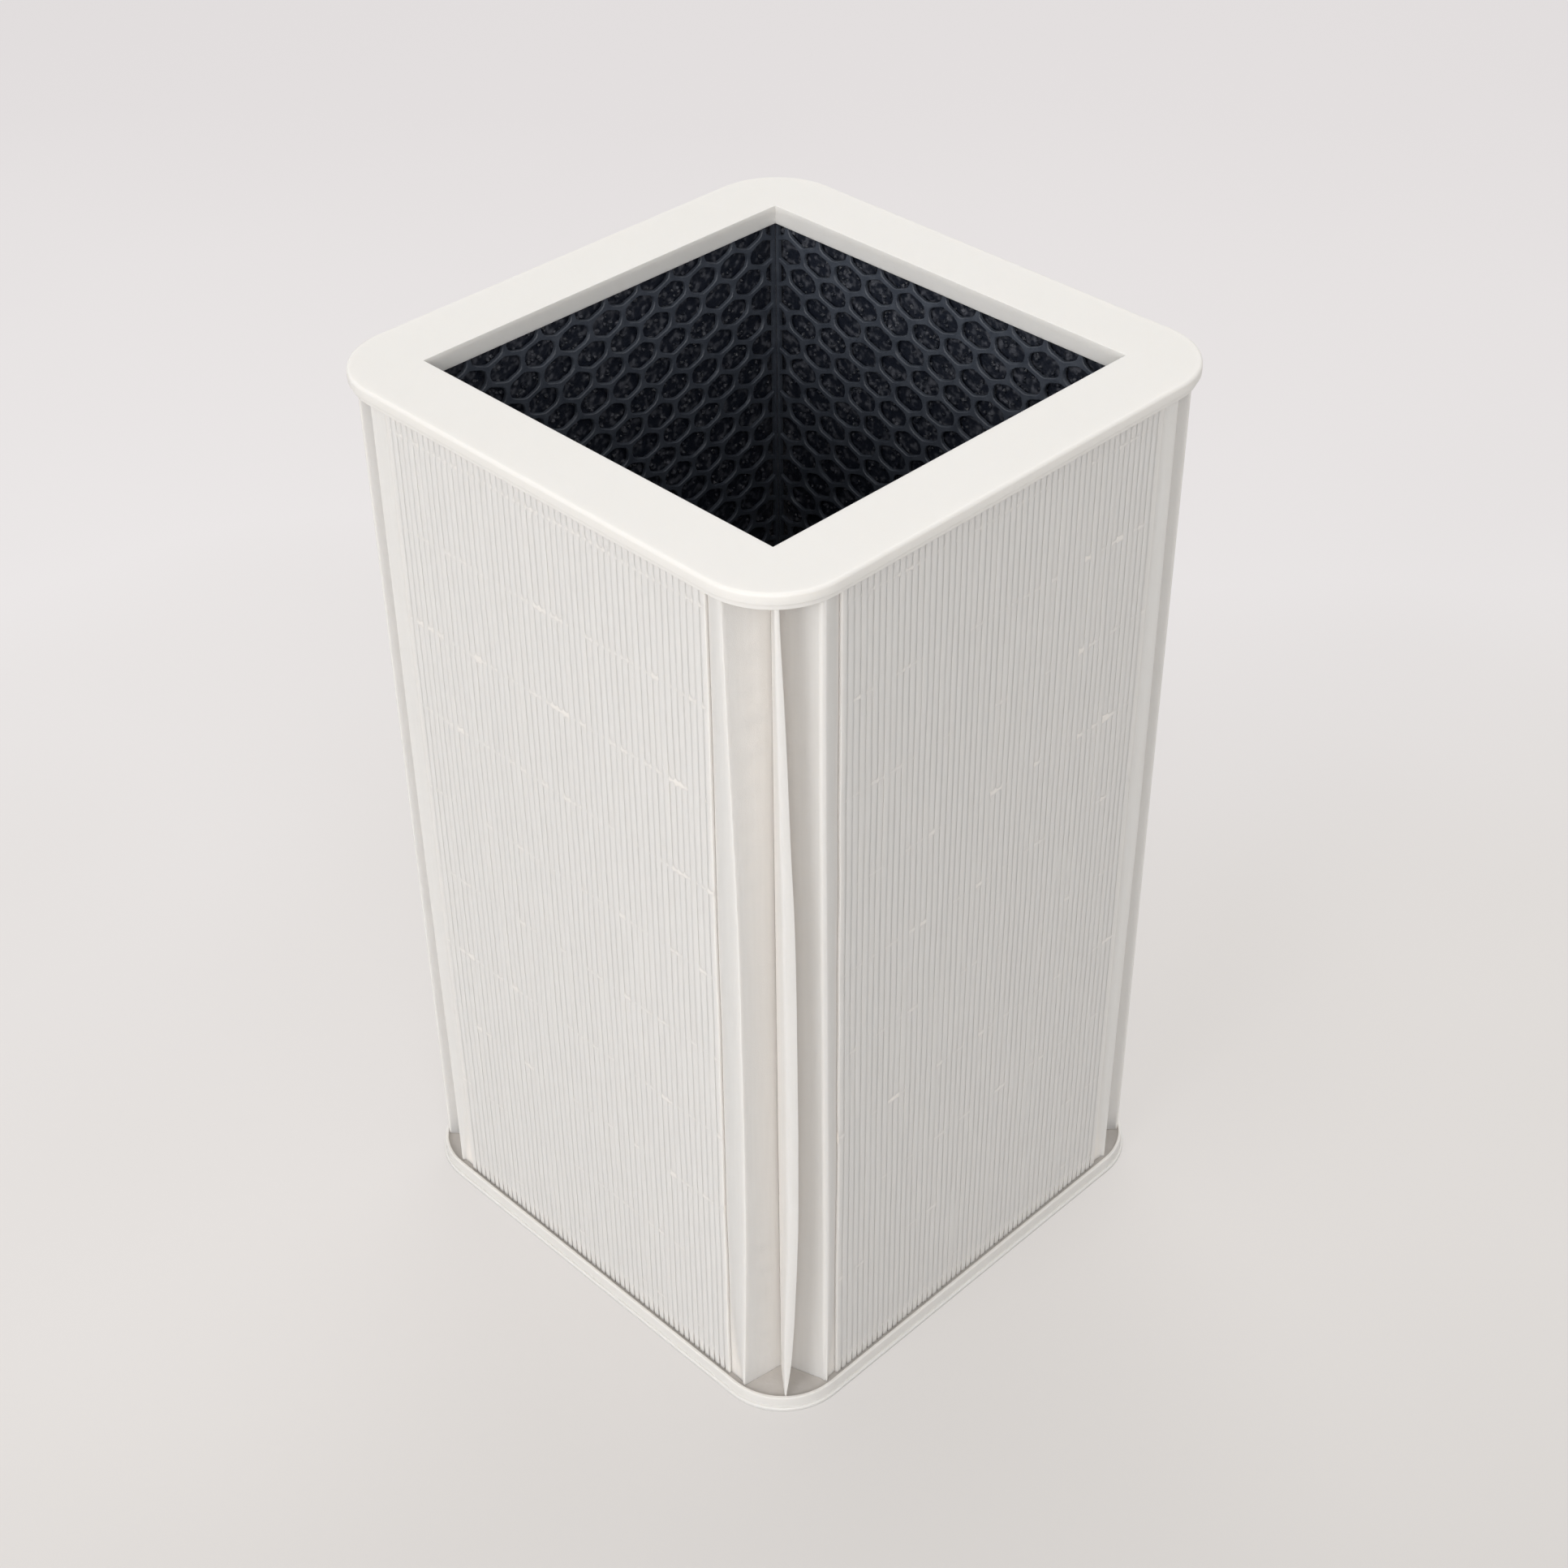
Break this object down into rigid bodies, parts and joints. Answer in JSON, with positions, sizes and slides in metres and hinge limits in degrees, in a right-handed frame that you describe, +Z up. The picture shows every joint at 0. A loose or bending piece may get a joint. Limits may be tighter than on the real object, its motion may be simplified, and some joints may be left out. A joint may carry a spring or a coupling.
{
  "type": "air purifier filter",
  "caption": "Square pleated air filter wrapped round honeycomb carbon panels, between an open moulded top frame and a closed base tray; air is drawn in through its sides and out of the core.",
  "frame": {"origin": "middle of the bottom face, on the surface it stands on", "axes": "+Z up, out of the open end; +X and -Y are the two sides that the picture shows"},
  "size_m": [0.22, 0.22, 0.372],
  "materials": {
    "cap_white": "satin",
    "potting": "matte",
    "filter_sheet": "matte",
    "hot_melt": "satin",
    "lattice_dark": "satin",
    "carbon_granules": "matte",
    "net_dark": "matte"
  },
  "bodies": {
    "root": {"top_cap": "cap_white", "bottom_cap": "cap_white", "top_potting": "potting", "bottom_potting": "potting", "pleated_sheet": "filter_sheet", "seam_bead": "hot_melt", "carbon_lattice_front": "lattice_dark", "carbon_lattice_right": "lattice_dark", "carbon_lattice_back": "lattice_dark", "carbon_lattice_left": "lattice_dark", "granule_bed_front": "carbon_granules", "granule_bed_right": "carbon_granules", "granule_bed_back": "carbon_granules", "granule_bed_left": "carbon_granules", "retaining_net_front": "net_dark", "retaining_net_right": "net_dark", "retaining_net_back": "net_dark", "retaining_net_left": "net_dark", "spacer_beads_front": "hot_melt", "spacer_beads_right": "hot_melt", "spacer_beads_back": "hot_melt", "spacer_beads_left": "hot_melt"}
  },
  "joints": []
}
